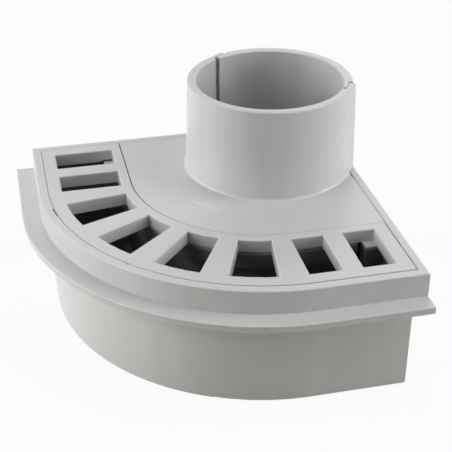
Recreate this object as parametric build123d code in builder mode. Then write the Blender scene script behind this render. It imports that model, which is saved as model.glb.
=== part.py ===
from build123d import *

import os
from math import cos, degrees, radians, sin, tan

# Corner gully trap, in millimetres
# It stands in the corner of two house walls. Every plan is drawn in the corner's own frame:
# the first axis runs out along the back wall, the second out along the side wall.

# Rim and its rebate
side = 176.0  # each straight side of the rim
round_radius = 121.5  # the rounded corner that faces away from the walls
body_height = 70.0  # underside of the floor to the top of the rim
rim_curved = 5.0  # width of the rim's top along the rounded side
rim_straight = 4.2  # width of the rim's top along the house walls
rim_draft = 0.3  # how far the rounded side leans in from flange to top
collar_height = 16.8  # the wide upper part, from the flange's underside to the top
rim_edge = 0.4  # bevel of the rim's top edges

# Flange
flange_width = 10.2
flange_thickness = 4.2
flange_edge = 1.2  # rounding of its lower outer edge
flange_top_edge = 0.5

# Lower walls and floor
tub_inset = 4.8  # step in from the rim to the lower walls
tub_wall = 3.2
floor_thickness = 3.2
tub_bottom_edge = 1.8

# Outlet in the floor, for a pipe pushed in from below
outlet_bore_radius = 40.25
outlet_depth = 30.0  # how far the pipe goes in before it meets the stop
outlet_wall = 3.2
outlet_stop = 2.6  # width of the stop
weir_height = 34.2  # top of the outlet above the underside of the floor

# Posts under the ends of the grate
post_width = 9.9  # out from the lower wall
post_depth = 9.6  # along the house wall
post_wall = 2.6  # round the hollow that opens downwards

# Sleeve for the downpipe
sleeve_bore_radius = 40.5
sleeve_height = 50.7  # above the rim
sleeve_rear_wall = 5.0
sleeve_wall_gap = 0.1  # from the rear half to each house wall
sleeve_front_wall = 6.2  # at its foot
sleeve_front_draft = 1.6  # degrees, how the outside of the front half leans in
sleeve_base_fillet = 1.5
sleeve_top_edge = 0.6  # bevel
split_angle = 102.0  # degrees from the open side round to the end of the front half
split_gap = 2.0
wing_start = 97.0  # degrees, where the outside of the front half runs on straight
wing_angle = 113.0  # degrees, end of that straight stretch, which laps over the rear half
tongue_thickness = 2.4  # the rear half under the lap
lap_gap = 0.3
wing_lift = 0.4  # daylight between the straight stretch and the rim

# Loose parts
lid_gap = 0.3  # gap round the loose parts
grate_play = 0.2  # the grate lies this far off its middle place, out along the back wall and in to it
grate_thickness = 7.1
grate_width = 45.1  # along the rounded side
grate_skin = 3.2  # top of the grate over its hollow bars
grate_bar_wall = 2.2
deck_thickness = 3.6
rib_thickness = 3.0
lip_gap = 0.9  # gap between the grate and the lip below it
lip_width = 5.0
lip_height = 9.1
lip_from_wall = 20.2
dip_wall_thickness = 3.0
dip_wall_bottom = 18.2  # above the underside of the floor
dip_wall_end_gap = 0.6
post_gap = 1.0  # between the dip wall and the posts

# Grate slots
slot_inner_land = 5.2  # grate between the slots and its inner edge
slot_outer_land = 7.4
slot_end_land = 7.5
slot_angle = 12.7  # degrees, width of a radial slot
slot_angle_pitch = 20.2
radial_slots = 4
straight_slots = 2  # at each end
slot_bar = 10.2  # between the straight slots
slot_past_bend = 1.2  # how far the last straight slot runs past the start of the bend
slot_top_edge = 0.8
lid_edge = 0.2  # bevel of the grate's outline at the top

# Places that follow from the sizes above
sleeve_from_wall = sleeve_bore_radius + sleeve_rear_wall + sleeve_wall_gap  # axis to each house wall
arc_centre = side - round_radius
corner = (side + flange_width) / 2
rebate_floor = body_height - grate_thickness
tub_inner = tub_inset + tub_wall
grate_rim = round_radius - rim_curved - lid_gap
grate_edge = grate_rim - grate_width
cover_edge = grate_edge - lid_gap
slot_inner_radius = grate_edge + slot_inner_land
slot_outer_radius = grate_rim - slot_outer_land
first_slot = rim_straight + lid_gap + slot_end_land
slots_end = arc_centre + slot_past_bend
slot_width = (slots_end - first_slot - (straight_slots - 1) * slot_bar) / straight_slots
diagonal = 45.0  # degrees, from the corner of the walls to the middle of the rounded side
beyond = 5.0  # how far cutting shapes run past what they cut
same_radius = 0.01  # largest difference between two radii taken as one


def level(height, play=0):
    """The plan's plane at a height above the underside of the floor, or the grate's plane by its play."""
    return Plane(origin=(corner - play, corner + play, height), x_dir=(-1, 0, 0), z_dir=(0, 0, 1))


def plan(from_walls, from_front):
    """The rounded plan, drawn in from the house walls and from the open sides."""
    out = side - from_front
    with BuildSketch(mode=Mode.PRIVATE) as shape:
        with BuildLine():
            Polyline((arc_centre, out), (from_walls, out), (from_walls, from_walls),
                     (out, from_walls), (out, arc_centre))
            CenterArc((arc_centre, arc_centre), out - arc_centre, 0, 90)
        make_face()
    return shape.sketch


def off_the_walls(edges):
    """The edges that don't lie along the house walls."""
    return edges.filter_by(lambda edge: max(edge.center().X, edge.center().Y) < corner - beyond)


def long_edges(edges):
    """The edges that run round the sleeve, without those of its ends."""
    return edges.filter_by(lambda edge: edge.length > sleeve_bore_radius)


def is_sleeve_round(edge):
    """Whether an edge is the round outside of the sleeve's front half."""
    radius = sleeve_bore_radius + sleeve_front_wall
    return edge.geom_type == GeomType.CIRCLE and abs(edge.radius - radius) < same_radius


def plan_to_radius(from_walls, radius):
    """The same plan, with its rounded corner at a radius about the corner's centre."""
    return plan(from_walls, round_radius - radius)


def pie(radius, half_angle):
    """A slice about the sleeve's axis, centred on the way to the corner."""
    axis = Vector(sleeve_from_wall, sleeve_from_wall)
    with BuildSketch(mode=Mode.PRIVATE) as shape:
        with BuildLine():
            start = diagonal + 180 - half_angle
            arc = CenterArc((axis.X, axis.Y), radius, start, 2 * half_angle)
            Line((axis.X, axis.Y), arc @ 0)
            Line(arc @ 1, (axis.X, axis.Y))
        make_face()
    return shape.sketch


def behind_split(set_back, tongue_radius):
    """What lies behind the stepped split of the sleeve and the deck."""
    turn = degrees(set_back / sleeve_bore_radius)
    with BuildSketch(mode=Mode.PRIVATE) as shape:
        add(pie(tongue_radius, 180 - split_angle - turn))
        add(pie(2 * sleeve_from_wall, 180 - wing_angle - turn))
    return shape.sketch


def rear_zone():
    """The part of the plan that belongs to the body."""
    return behind_split(split_gap, sleeve_bore_radius + tongue_thickness)


def not_front_zone():
    """The part of the plan that the cover keeps out of."""
    return behind_split(0, sleeve_bore_radius + tongue_thickness + lap_gap)


def wing(direction):
    """Straight stretch at one end of the front half, a wedge that runs in to the sleeve's axis."""
    axis = Vector(sleeve_from_wall, sleeve_from_wall)
    radius = sleeve_bore_radius + sleeve_front_wall
    run = direction * (radius * tan(radians(wing_angle - wing_start)) + beyond)
    angle = radians(diagonal + direction * wing_start)
    root = axis + Vector(cos(angle), sin(angle)) * radius
    tip = root + Vector(-sin(angle), cos(angle)) * run
    with BuildSketch(mode=Mode.PRIVATE) as shape:
        with BuildLine():
            Polyline((axis.X, axis.Y), (root.X, root.Y), (tip.X, tip.Y), close=True)
        make_face()
    return shape.sketch


def cover_plan():
    """Outline of the cover, without its bore."""
    with BuildSketch(mode=Mode.PRIVATE) as shape:
        add(plan_to_radius(rim_straight + lid_gap, cover_edge))
        add(not_front_zone(), mode=Mode.SUBTRACT)
    return shape.sketch


def sector(inner, outer, start, width):
    """A piece of a ring about the centre of the rounded corner."""
    with BuildSketch(mode=Mode.PRIVATE) as shape:
        with BuildLine():
            near = CenterArc((0, 0), inner, start, width)
            far = CenterArc((0, 0), outer, start, width)
            Line(near @ 0, far @ 0)
            Line(near @ 1, far @ 1)
        make_face()
    return shape.sketch


def slots(margin):
    """The grate's slots, each drawn out sideways by a margin."""
    length = slot_outer_radius - slot_inner_radius
    with BuildSketch(mode=Mode.PRIVATE) as shape:
        with Locations((arc_centre, arc_centre)):
            for index in range(radial_slots):
                middle = diagonal + (index - (radial_slots - 1) / 2) * slot_angle_pitch
                width = slot_angle + 2 * degrees(margin / slot_inner_radius)
                add(sector(slot_inner_radius, slot_outer_radius, middle - width / 2, width))
        for index in range(straight_slots):
            near = first_slot + index * (slot_width + slot_bar) - margin
            width = slot_width + 2 * margin
            with Locations((arc_centre + slot_inner_radius, near)):
                Rectangle(length, width, align=(Align.MIN, Align.MIN))
            with Locations((near, arc_centre + slot_inner_radius)):
                Rectangle(width, length, align=(Align.MIN, Align.MIN))
    return shape.sketch


# Body: flange, tub, rim, outlet, posts, corner deck and rear half of the sleeve
with BuildPart() as trap_body:
    collar_bottom = body_height - collar_height
    with BuildSketch(level(collar_bottom)):
        add(plan(0, -flange_width))
    extrude(amount=flange_thickness)
    fillet(off_the_walls(trap_body.edges().group_by(Axis.Z)[0]), flange_edge)
    fillet(off_the_walls(trap_body.edges().group_by(Axis.Z)[-1]), flange_top_edge)

    # The rim leans in above the flange
    with BuildSketch(level(collar_bottom + flange_thickness)):
        add(plan(0, -rim_draft))
    with BuildSketch(level(body_height)):
        add(plan(0, 0))
    loft()
    with BuildSketch(level(0)):
        add(plan(tub_inset, tub_inset))
    extrude(amount=collar_bottom)
    fillet(trap_body.edges().group_by(Axis.Z)[0], tub_bottom_edge)

    # Rebate for the loose parts, and the hollow below it
    with BuildSketch(level(body_height)):
        add(plan(rim_straight, rim_curved))
    extrude(amount=-grate_thickness, mode=Mode.SUBTRACT)
    chamfer(trap_body.edges().group_by(Axis.Z)[-1], rim_edge)
    with BuildSketch(level(floor_thickness)):
        add(plan(tub_inner, tub_inner))
    extrude(amount=body_height, mode=Mode.SUBTRACT)

    # Outlet: its upper end is the weir that holds the water seal
    with BuildSketch(level(0)):
        with Locations((arc_centre, arc_centre)):
            Circle(outlet_bore_radius + outlet_wall)
    extrude(amount=weir_height)
    with BuildSketch(level(0)):
        with Locations((arc_centre, arc_centre)):
            Circle(outlet_bore_radius)
    extrude(amount=outlet_depth, mode=Mode.SUBTRACT)
    with BuildSketch(level(0)):
        with Locations((arc_centre, arc_centre)):
            Circle(outlet_bore_radius - outlet_stop)
    extrude(amount=weir_height, mode=Mode.SUBTRACT)

    # One post under each end of the grate
    post_start = arc_centre + cover_edge + post_gap
    with BuildSketch(level(floor_thickness)):
        with Locations((tub_inset + tub_wall / 2, post_start)):
            Rectangle(post_width + tub_wall / 2, post_depth, align=(Align.MIN, Align.MIN))
        with Locations((post_start, tub_inset + tub_wall / 2)):
            Rectangle(post_depth, post_width + tub_wall / 2, align=(Align.MIN, Align.MIN))
    extrude(amount=rebate_floor - floor_thickness)
    hollow_across = tub_wall + post_width - 2 * post_wall
    hollow_along = post_depth - 2 * post_wall
    with BuildSketch(level(0)):
        with Locations((tub_inset + post_wall, post_start + post_wall)):
            Rectangle(hollow_across, hollow_along, align=(Align.MIN, Align.MIN))
        with Locations((post_start + post_wall, tub_inset + post_wall)):
            Rectangle(hollow_along, hollow_across, align=(Align.MIN, Align.MIN))
    extrude(amount=rebate_floor - post_wall, mode=Mode.SUBTRACT)

    # Corner deck and rear half of the sleeve
    with BuildSketch(level(body_height)):
        add(plan(0, 0))
        add(rear_zone(), mode=Mode.INTERSECT)
    extrude(amount=-deck_thickness)
    with BuildSketch(level(body_height - deck_thickness)):
        with Locations((sleeve_from_wall, sleeve_from_wall)):
            Circle(sleeve_bore_radius + sleeve_rear_wall)
        add(rear_zone(), mode=Mode.INTERSECT)
    extrude(amount=deck_thickness + sleeve_height)
    with BuildSketch(level(body_height - deck_thickness)):
        with Locations((sleeve_from_wall, sleeve_from_wall)):
            Circle(sleeve_bore_radius)
    extrude(amount=deck_thickness + sleeve_height, mode=Mode.SUBTRACT)
    chamfer(long_edges(trap_body.edges().group_by(Axis.Z)[-1]), sleeve_top_edge)

# Grate: follows the rounded side, four straight slots and four radial ones
with BuildPart() as grate_ring:
    with BuildSketch(level(rebate_floor, grate_play)):
        add(plan(rim_straight + lid_gap, rim_curved + lid_gap))
        add(plan_to_radius(-beyond, grate_edge), mode=Mode.SUBTRACT)
    extrude(amount=grate_thickness)
    with BuildSketch(level(rebate_floor, grate_play)):
        add(slots(0))
    extrude(amount=grate_thickness, mode=Mode.SUBTRACT)
    grate_top = grate_ring.faces().sort_by(Axis.Z)[-1]
    fillet(grate_top.inner_wires().edges(), slot_top_edge)
    chamfer(grate_ring.faces().sort_by(Axis.Z)[-1].outer_wire().edges(), lid_edge)

    # The bars are hollow from below
    with BuildSketch(level(rebate_floor, grate_play)):
        add(plan_to_radius(rim_straight + lid_gap + grate_bar_wall, slot_outer_radius))
        add(plan_to_radius(-beyond, slot_inner_radius), mode=Mode.SUBTRACT)
        add(slots(grate_bar_wall), mode=Mode.SUBTRACT)
    extrude(amount=grate_thickness - grate_skin, mode=Mode.SUBTRACT)

# Cover: deck, front half of the sleeve, ribs, lip and dip wall
with BuildPart() as cover_plate:
    with BuildSketch(level(body_height)):
        add(cover_plan())
    extrude(amount=-deck_thickness)

    # Front half of the sleeve, which runs on straight to the split at each end
    with BuildSketch(level(body_height)):
        with Locations((sleeve_from_wall, sleeve_from_wall)):
            Circle(sleeve_bore_radius + sleeve_front_wall)
        add(wing(1))
        add(wing(-1))
    extrude(amount=sleeve_height, taper=sleeve_front_draft)
    with BuildSketch(level(body_height)):
        add(not_front_zone())
    extrude(amount=sleeve_height, mode=Mode.SUBTRACT)
    with BuildSketch(level(body_height - deck_thickness)):
        with Locations((sleeve_from_wall, sleeve_from_wall)):
            Circle(sleeve_bore_radius)
    extrude(amount=deck_thickness + sleeve_height, mode=Mode.SUBTRACT)
    with BuildSketch(level(body_height + wing_lift)):
        add(plan(-beyond, -beyond))
        add(plan(rim_straight + lid_gap, -beyond), mode=Mode.SUBTRACT)
    extrude(amount=-deck_thickness - wing_lift, mode=Mode.SUBTRACT)
    chamfer(long_edges(cover_plate.edges().group_by(Axis.Z)[-1]), sleeve_top_edge)
    at_the_foot = cover_plate.edges().filter_by_position(Axis.Z, body_height, body_height)
    fillet(at_the_foot.filter_by(is_sleeve_round), sleeve_base_fillet)

    # Ribs along the house walls stand on the rebate
    with BuildSketch(level(rebate_floor)):
        add(cover_plan())
        add(plan(rim_straight + lid_gap + rib_thickness, -beyond), mode=Mode.SUBTRACT)
    extrude(amount=grate_thickness)

    # Dip wall of the water trap
    with BuildSketch(level(dip_wall_bottom)):
        add(plan_to_radius(tub_inner + dip_wall_end_gap, cover_edge))
        add(plan_to_radius(-beyond, cover_edge - dip_wall_thickness), mode=Mode.SUBTRACT)
    extrude(amount=body_height - dip_wall_bottom)

    # Lip below the inner edge of the grate
    lip_top = rebate_floor - lip_gap
    with BuildSketch(level(lip_top)):
        add(plan_to_radius(lip_from_wall, cover_edge + lip_width))
        add(plan_to_radius(-beyond, cover_edge - dip_wall_thickness), mode=Mode.SUBTRACT)
    extrude(amount=-lip_height)

trap_body.part.label = "trap_body"
grate_ring.part.label = "grate_ring"
cover_plate.part.label = "cover_plate"

os.makedirs("parts", exist_ok=True)
export_step(trap_body.part, "parts/trap_body.step")
export_step(grate_ring.part, "parts/grate_ring.step")
export_step(cover_plate.part, "parts/cover_plate.step")
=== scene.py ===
from math import cos, pi, radians, sin

import bmesh
import bpy
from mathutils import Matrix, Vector


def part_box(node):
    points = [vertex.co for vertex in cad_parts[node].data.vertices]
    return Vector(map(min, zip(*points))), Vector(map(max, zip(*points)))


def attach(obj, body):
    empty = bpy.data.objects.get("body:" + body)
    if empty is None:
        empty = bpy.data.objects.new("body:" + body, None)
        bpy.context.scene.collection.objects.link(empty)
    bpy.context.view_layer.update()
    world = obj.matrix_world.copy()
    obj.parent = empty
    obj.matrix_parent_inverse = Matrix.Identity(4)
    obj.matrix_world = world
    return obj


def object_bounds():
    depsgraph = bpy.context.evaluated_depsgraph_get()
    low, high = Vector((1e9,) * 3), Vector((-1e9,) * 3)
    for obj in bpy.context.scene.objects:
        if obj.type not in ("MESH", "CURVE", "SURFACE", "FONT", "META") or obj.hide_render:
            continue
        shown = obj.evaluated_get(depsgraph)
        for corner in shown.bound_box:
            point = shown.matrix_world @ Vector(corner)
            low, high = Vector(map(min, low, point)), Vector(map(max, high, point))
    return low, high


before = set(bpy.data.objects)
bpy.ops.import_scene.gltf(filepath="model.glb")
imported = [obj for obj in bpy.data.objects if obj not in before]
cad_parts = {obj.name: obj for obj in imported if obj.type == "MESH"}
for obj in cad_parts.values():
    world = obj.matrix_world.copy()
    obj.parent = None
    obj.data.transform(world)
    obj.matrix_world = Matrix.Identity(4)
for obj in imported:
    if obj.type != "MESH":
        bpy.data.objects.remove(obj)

bpy.context.view_layer.update()
cad_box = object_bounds()

# Everything is in metres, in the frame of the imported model
MM = 0.001
ground = cad_box[0].z
corner = cad_box[1].x  # both house walls stand at this distance from the middle
grate_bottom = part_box("grate_ring")[0].z
grate_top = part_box("grate_ring")[1].z  # level with the cover
flange_width = 10.2 * MM
round_radius = 121.5 * MM  # of the rim's rounded side
arc_centre = 2 * corner - flange_width - round_radius  # its centre, from each house wall
wall_middle = 6.4 * MM  # middle of the tub's wall, in from the rim's outline

# Blank raised pad on the cover, across the diagonal from the corner
pad_from_corner = 122.7 * MM  # its middle, along the diagonal
pad_length = 22.0 * MM
pad_width = 11.0 * MM
pad_height = 0.4 * MM
pad_corner = 3.0 * MM
pad_corner_points = 6
pad_slope = 1.6 * MM  # width of the soft slope all round it
pad_slope_steps = 6

# Camera: where the photograph was taken from
camera_place = Vector((-0.09325, -0.46438, 0.34445))
camera_azimuth = -12.79  # degrees, 0 looks along +Y
camera_elevation = 30.95
camera_roll = -0.06
camera_lens = 83.0
sensor_width = 36.0

# Studio lights: name, azimuth and elevation they shine from, power in watts
softbox_distance = 1.2  # from the object's middle
softbox_side = 0.6
studio_lights = (
    ("left_back_softbox", -110, 8, 7.4),
    ("left_softbox", -80, 32, 4.8),
    ("left_low_softbox", -80, 8, 2.7),
    ("right_low_softbox", 70, 8, 7.3),
    ("right_softbox", 70, 32, 2.8),
    ("right_high_softbox", 70, 58, 2.5),
    ("top_softbox", -12, 88, 0.9),
    ("back_softbox", -170, 32, 0.8),
    ("right_back_softbox", 145, 32, 1.2),
    ("back_high_softbox", -170, 58, 1.8),
)

# Floor
white = (1.0, 1.0, 1.0, 1.0)
floor_colour = (0.46, 0.45, 0.37, 1.0)  # for the light that bounces off it
floor_glow = 0.9  # share of plain white in it, as the camera and reflections see it
floor_half_width = 6.0

# Plastic: colour, linear
plastic_colour = (0.640, 0.639, 0.640)
# Painted shade: the tub's inside below the grate is painted darker where shade falls
painted_inside_shade = 0.28  # painted shade inside the tub, below the grate, as a share of that colour
inside_blend = 0.2 * MM  # half the width of the change in the middle of the tub's wall
inside_depth = 3.0 * MM  # how far below the grate it is reached in full

# Plastic: noise, as features per metre and detail, and the range that each one covers
noise_low = 0.2  # noise seldom leaves this range
noise_high = 0.8
cloud_noise = (14.0, 1.0)
cloud_range = (0.97, 1.03)
speck_noise = (900.0, 1.0)
speck_range = (0.98, 1.02)
streak_noise = (90.0, 2.0)
streak_range = (-0.045, 0.045)
streak_stretch = 0.12  # how slowly the streaks change with height
gloss_noise = (60.0, 4.0)
roughness_range = (0.27, 0.35)

# Plastic: surface
refraction = 1.5
ripple_noise = (35.0, 1.0)  # slow ripples of the moulding
ripple_strength = 0.25
ripple_height = 0.4 * MM
grain_noise = (1500.0, 2.0)
grain_strength = 0.15
grain_height = 0.05 * MM

# Marks on the mouldings, most of them painted shade and two of them painted highlights, in millimetres:
# both ends from the two house walls and up, width, shade
marks_and_painted_light = (
    ((170.0, 74.0, 70.0), (168.3, 81.5, 70.0), 0.9, 0.10),  # painted shade where the seam looks open at the left
    ((4.8, 69.2, 70.0), (4.4, 76.5, 70.0), 0.9, 0.15),  # painted shade as well at the right, by the grate's corner
    ((139.8, 134.6, 70.0), (138.9, 136.0, 70.0), 0.8, 0.45),  # painted shade of a nick in the rim
    ((91.5, 180.9, 55.5), (91.5, 180.9, 57.6), 0.6, 0.78),  # hairlines in the flange's edge
    ((83.0, 183.1, 56.0), (83.0, 183.1, 57.5), 0.5, 0.82),
    ((146.0, 149.1, 57.3), (145.0, 150.1, 57.3), 0.8, 1.30),  # painted highlights on the flange
    ((142.4, 152.6, 57.3), (141.4, 153.5, 57.3), 0.6, 1.20),
    ((126.0, 11.3, 62.9), (136.4, 11.3, 62.9), 2.4, 0.12),  # painted shadow on the end of the post's top
    ((67.9, 11.2, 67.0), (67.9, 11.2, 120.0), 2.2, 0.05),  # painted shade in the depth of the sleeve's slit
)
mark_core = 0.2  # share of its width within which a mark has its full shade
mark_reach = 0.7  # share of its width at which a mark has faded out
mark_raggedness = 0.3 * MM
ragged_noise = (700.0, 2.0)


class Nodes:
    """Short names for making a material's node tree."""

    def __init__(self, material):
        material.use_nodes = True
        self.tree = material.node_tree
        self.tree.nodes.clear()

    def new(self, kind, **values):
        """A node, with each value set as its property or, if it has none of that name, its socket."""
        node = self.tree.nodes.new(kind)
        for name, value in values.items():
            if hasattr(node, name):
                setattr(node, name, value)
            else:
                node.inputs[name.replace("_", " ")].default_value = value
        return node

    def link(self, source, target):
        self.tree.links.new(source, target)


def maths(nodes, operation, first, second=0.0):
    """One Math node on two sockets or numbers."""
    node = nodes.new("ShaderNodeMath", operation=operation)
    for index, value in enumerate((first, second)):
        if isinstance(value, (int, float)):
            node.inputs[index].default_value = value
        else:
            nodes.link(value, node.inputs[index])
    return node.outputs[0]


def vectors(nodes, operation, first, second=(0.0, 0.0, 0.0)):
    """One Vector Math node on two sockets or vectors."""
    node = nodes.new("ShaderNodeVectorMath", operation=operation)
    for index, value in enumerate((first, second)):
        if isinstance(value, (tuple, Vector)):
            node.inputs[index].default_value = value
        else:
            nodes.link(value, node.inputs[index])
    gives_number = operation in ("DOT_PRODUCT", "LENGTH")
    return node.outputs["Value" if gives_number else "Vector"]


def scaled(nodes, vector, factor):
    """A fixed vector times a socket."""
    node = nodes.new("ShaderNodeVectorMath", operation="SCALE")
    node.inputs[0].default_value = vector
    nodes.link(factor, node.inputs["Scale"])
    return node.outputs["Vector"]


def noise(nodes, place, scale, detail):
    """Noise by the place on the object, with features about 1 / scale metres wide."""
    node = nodes.new("ShaderNodeTexNoise", Scale=scale, Detail=detail)
    nodes.link(place, node.inputs["Vector"])
    return node.outputs["Fac"]


def spread(nodes, value, low, high):
    """Maps noise, which stays near its middle, onto a range."""
    node = nodes.new("ShaderNodeMapRange", From_Min=noise_low, From_Max=noise_high, To_Min=low, To_Max=high)
    nodes.link(value, node.inputs["Value"])
    return node.outputs["Result"]


def steps(nodes, value, low, high):
    """0 below low, 1 above high, smooth between."""
    node = nodes.new("ShaderNodeMapRange", interpolation_type="SMOOTHSTEP", From_Min=low, From_Max=high)
    nodes.link(value, node.inputs["Value"])
    return node.outputs["Result"]


def painted_tub_shade(nodes, place):
    """1 outside, falling to the painted shade inside the tub, below the grate."""
    parts = nodes.new("ShaderNodeSeparateXYZ")
    nodes.link(place, parts.inputs[0])
    along = maths(nodes, "SUBTRACT", corner, parts.outputs["X"])
    across = maths(nodes, "SUBTRACT", corner, parts.outputs["Y"])

    # Room between the place and the outline: to the house walls, or to the rounded side
    past_along = maths(nodes, "MAXIMUM", maths(nodes, "SUBTRACT", along, arc_centre), 0.0)
    past_across = maths(nodes, "MAXIMUM", maths(nodes, "SUBTRACT", across, arc_centre), 0.0)
    squares = maths(nodes, "ADD", maths(nodes, "MULTIPLY", past_along, past_along),
                    maths(nodes, "MULTIPLY", past_across, past_across))
    room = maths(nodes, "SUBTRACT", round_radius, maths(nodes, "SQRT", squares))
    room = maths(nodes, "MINIMUM", room, maths(nodes, "MINIMUM", along, across))
    within = steps(nodes, room, wall_middle - inside_blend, wall_middle + inside_blend)

    depth = maths(nodes, "SUBTRACT", grate_bottom, parts.outputs["Z"])
    amount = maths(nodes, "MULTIPLY", within, steps(nodes, depth, 0.0, inside_depth))
    return maths(nodes, "SUBTRACT", 1.0, maths(nodes, "MULTIPLY", amount, 1.0 - painted_inside_shade))


def from_walls(along, across, height):
    """A place given in millimetres from the two house walls and from the ground."""
    return Vector((corner - along * MM, corner - across * MM, ground + height * MM))


def mark(nodes, place, first, second, width, shade):
    """1 everywhere but in a short ragged stroke between two places, where it comes to shade."""
    start = from_walls(*first)
    run = from_walls(*second) - start
    offset = vectors(nodes, "SUBTRACT", place, start)
    share = maths(nodes, "DIVIDE", vectors(nodes, "DOT_PRODUCT", offset, run), run.length_squared)
    share = maths(nodes, "MINIMUM", maths(nodes, "MAXIMUM", share, 0.0), 1.0)
    distance = vectors(nodes, "LENGTH", vectors(nodes, "SUBTRACT", offset, scaled(nodes, run, share)))
    ragged = spread(nodes, noise(nodes, place, *ragged_noise), -mark_raggedness, mark_raggedness)
    distance = maths(nodes, "ADD", distance, ragged)
    clear = steps(nodes, distance, mark_core * width * MM, mark_reach * width * MM)
    return maths(nodes, "ADD", shade, maths(nodes, "MULTIPLY", clear, 1.0 - shade))


def upright(nodes):
    """1 on upright faces, 0 on level ones."""
    parts = nodes.new("ShaderNodeSeparateXYZ")
    nodes.link(nodes.new("ShaderNodeNewGeometry").outputs["Normal"], parts.inputs[0])
    return maths(nodes, "SUBTRACT", 1.0, maths(nodes, "ABSOLUTE", parts.outputs["Z"]))


def moulded_colour(nodes, place):
    """The plastic's colour with faint clouds, specks, streaks down upright faces, the marks with their
    painted shade and highlights, and painted shade inside the tub.
    """
    drawn = vectors(nodes, "MULTIPLY", place, (1.0, 1.0, streak_stretch))
    streaks = spread(nodes, noise(nodes, drawn, *streak_noise), *streak_range)
    layers = [
        spread(nodes, noise(nodes, place, *cloud_noise), *cloud_range),
        spread(nodes, noise(nodes, place, *speck_noise), *speck_range),
        maths(nodes, "ADD", 1.0, maths(nodes, "MULTIPLY", streaks, upright(nodes))),
    ]
    # The marks: painted shade in the seam, a nick, the slit and on a post, painted highlights on the
    # flange, and hairlines
    for first, second, width, shade in marks_and_painted_light:
        layers.append(mark(nodes, place, first, second, width, shade))
    # Painted shade: darker inside the tub, below the grate
    total = painted_tub_shade(nodes, place)
    for layer in layers:
        total = maths(nodes, "MULTIPLY", total, layer)
    return scaled(nodes, plastic_colour, total)


def moulded_surface(nodes, place):
    """Slow ripples of the moulding with a fine grain on them."""
    ripples = nodes.new("ShaderNodeBump", Strength=ripple_strength, Distance=ripple_height)
    nodes.link(noise(nodes, place, *ripple_noise), ripples.inputs["Height"])
    grain = nodes.new("ShaderNodeBump", Strength=grain_strength, Distance=grain_height)
    nodes.link(noise(nodes, place, *grain_noise), grain.inputs["Height"])
    nodes.link(ripples.outputs["Normal"], grain.inputs["Normal"])
    return grain.outputs["Normal"]


def plastic(name):
    """Grey moulded plastic with a soft, slightly uneven sheen."""
    material = bpy.data.materials.new(name)
    nodes = Nodes(material)
    place = nodes.new("ShaderNodeTexCoord").outputs["Object"]
    shader = nodes.new("ShaderNodeBsdfPrincipled", IOR=refraction)
    roughness = spread(nodes, noise(nodes, place, *gloss_noise), *roughness_range)
    nodes.link(moulded_colour(nodes, place), shader.inputs["Base Color"])
    nodes.link(roughness, shader.inputs["Roughness"])
    nodes.link(moulded_surface(nodes, place), shader.inputs["Normal"])
    output = nodes.new("ShaderNodeOutputMaterial")
    nodes.link(shader.outputs[0], output.inputs["Surface"])
    return material


def seen_directly(nodes):
    """1 where the camera or a reflection looks, 0 for the light that bounces."""
    path = nodes.new("ShaderNodeLightPath").outputs
    either = maths(nodes, "MAXIMUM", path["Is Camera Ray"], path["Is Glossy Ray"])
    return maths(nodes, "MAXIMUM", either, path["Is Transmission Ray"])


def floor_material():
    """Near white where the camera or a reflection looks, with the object's shadow on it."""
    material = bpy.data.materials.new("floor")
    nodes = Nodes(material)
    plain = nodes.new("ShaderNodeBsdfDiffuse", Color=floor_colour)
    shadowed = nodes.new("ShaderNodeBsdfDiffuse", Color=white)
    glow = nodes.new("ShaderNodeEmission", Color=white, Strength=1.0)
    seen = nodes.new("ShaderNodeMixShader", Fac=floor_glow)
    nodes.link(shadowed.outputs[0], seen.inputs[1])
    nodes.link(glow.outputs[0], seen.inputs[2])
    either = nodes.new("ShaderNodeMixShader")
    nodes.link(seen_directly(nodes), either.inputs["Fac"])
    nodes.link(plain.outputs[0], either.inputs[1])
    nodes.link(seen.outputs[0], either.inputs[2])
    output = nodes.new("ShaderNodeOutputMaterial")
    nodes.link(either.outputs[0], output.inputs["Surface"])
    return material


def make_floor():
    """A plain pale floor under the object."""
    mesh = bpy.data.meshes.new("floor")
    w = floor_half_width
    corners = [(-w, -w, ground), (w, -w, ground), (w, w, ground), (-w, w, ground)]
    mesh.from_pydata(corners, [], [(0, 1, 2, 3)])
    mesh.materials.append(floor_material())
    floor = bpy.data.objects.new("floor", mesh)
    bpy.context.scene.collection.objects.link(floor)


def make_world():
    """White where the camera or a reflection looks, with no other light of its own."""
    world = bpy.data.worlds.new("studio")
    bpy.context.scene.world = world
    nodes = Nodes(world)
    background = nodes.new("ShaderNodeBackground", Color=white)
    nodes.link(seen_directly(nodes), background.inputs["Strength"])
    output = nodes.new("ShaderNodeOutputWorld")
    nodes.link(background.outputs[0], output.inputs["Surface"])


def back_vector(azimuth, elevation):
    """Direction from the object towards a viewer."""
    a = radians(azimuth)
    e = radians(elevation)
    return Vector((sin(a) * cos(e), -cos(a) * cos(e), sin(e)))


def make_lights():
    """Softboxes round the object, each aimed at its middle."""
    middle = (cad_box[0] + cad_box[1]) / 2
    for name, azimuth, elevation, power in studio_lights:
        lamp = bpy.data.lights.new(name, "AREA")
        lamp.size = softbox_side
        lamp.energy = power
        light = bpy.data.objects.new(name, lamp)
        back = back_vector(azimuth, elevation)
        light.location = middle + back * softbox_distance
        light.rotation_euler = back.to_track_quat("Z", "Y").to_euler()
        bpy.context.scene.collection.objects.link(light)


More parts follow.
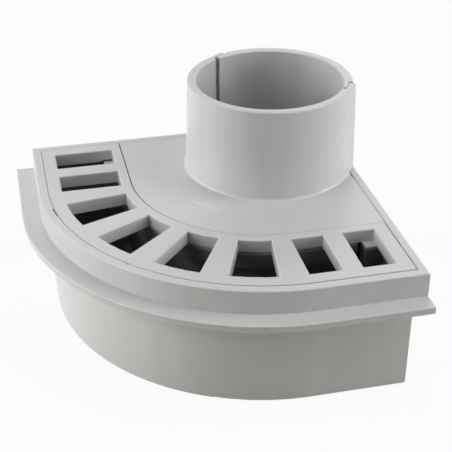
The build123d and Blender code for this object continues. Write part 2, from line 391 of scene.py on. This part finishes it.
def make_camera():
    """A camera where the photograph was taken from, with the same view."""
    data = bpy.data.cameras.new("camera")
    data.lens = camera_lens
    data.sensor_width = sensor_width
    camera = bpy.data.objects.new("camera", data)
    bpy.context.scene.collection.objects.link(camera)
    back = back_vector(camera_azimuth, camera_elevation)
    right = (-back).cross(Vector((0, 0, 1))).normalized()
    up = right.cross(-back)
    roll = radians(camera_roll)
    across = cos(roll) * right + sin(roll) * up
    upward = cos(roll) * up - sin(roll) * right
    matrix = camera.matrix_world
    for column, direction in enumerate((across, upward, back, camera_place)):
        for row in range(3):
            matrix[row][column] = direction[row]
    camera.matrix_world = matrix
    bpy.context.scene.camera = camera


def rounded_outline(length, width, radius):
    """A rounded rectangle about the origin, as a list of 2-D points."""
    outline = []
    for turn, (side_x, side_y) in enumerate(((1, 1), (-1, 1), (-1, -1), (1, -1))):
        centre_x = side_x * (length / 2 - radius)
        centre_y = side_y * (width / 2 - radius)
        for step in range(pad_corner_points + 1):
            angle = radians(90 * (turn + step / pad_corner_points))
            outline.append((centre_x + radius * cos(angle), centre_y + radius * sin(angle)))
    return outline


def make_pad(material):
    """The blank raised pad on the cover, with soft slopes all round."""
    inward = Vector((-1, -1, 0)).normalized()
    across = Vector((1, -1, 0)).normalized()
    middle = Vector((corner, corner, 0)) + inward * pad_from_corner
    shape = bmesh.new()
    rings = []
    for step in range(pad_slope_steps + 1):
        share = step / pad_slope_steps
        inset = pad_slope * share
        outline = rounded_outline(pad_length - 2 * inset, pad_width - 2 * inset, pad_corner - inset)
        height = grate_top + pad_height * (0.5 - 0.5 * cos(pi * share))
        centre = middle + Vector((0, 0, height))
        rings.append([shape.verts.new(centre + across * x + inward * y) for x, y in outline])
    count = len(rings[0])
    for lower, upper in zip(rings, rings[1:]):
        for index in range(count):
            after = (index + 1) % count
            shape.faces.new((lower[index], lower[after], upper[after], upper[index]))
    shape.faces.new(rings[-1])
    shape.faces.new(rings[0])
    bmesh.ops.recalc_face_normals(shape, faces=shape.faces)
    mesh = bpy.data.meshes.new("cover_pad")
    shape.to_mesh(mesh)
    shape.free()
    mesh.shade_smooth()
    mesh.materials.append(material)
    pad = bpy.data.objects.new("cover_pad", mesh)
    bpy.context.scene.collection.objects.link(pad)
    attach(pad, "root")


def dress_cad_nodes(material):
    """Each moulding gets the plastic."""
    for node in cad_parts.values():
        for index in range(len(node.material_slots)):
            node.material_slots[index].material = material


bpy.context.scene.view_settings.view_transform = "Standard"
make_camera()
make_world()
make_lights()
make_floor()
grey_plastic = plastic("grey_plastic_moulding")
dress_cad_nodes(grey_plastic)
make_pad(grey_plastic)

bpy.context.view_layer.update()
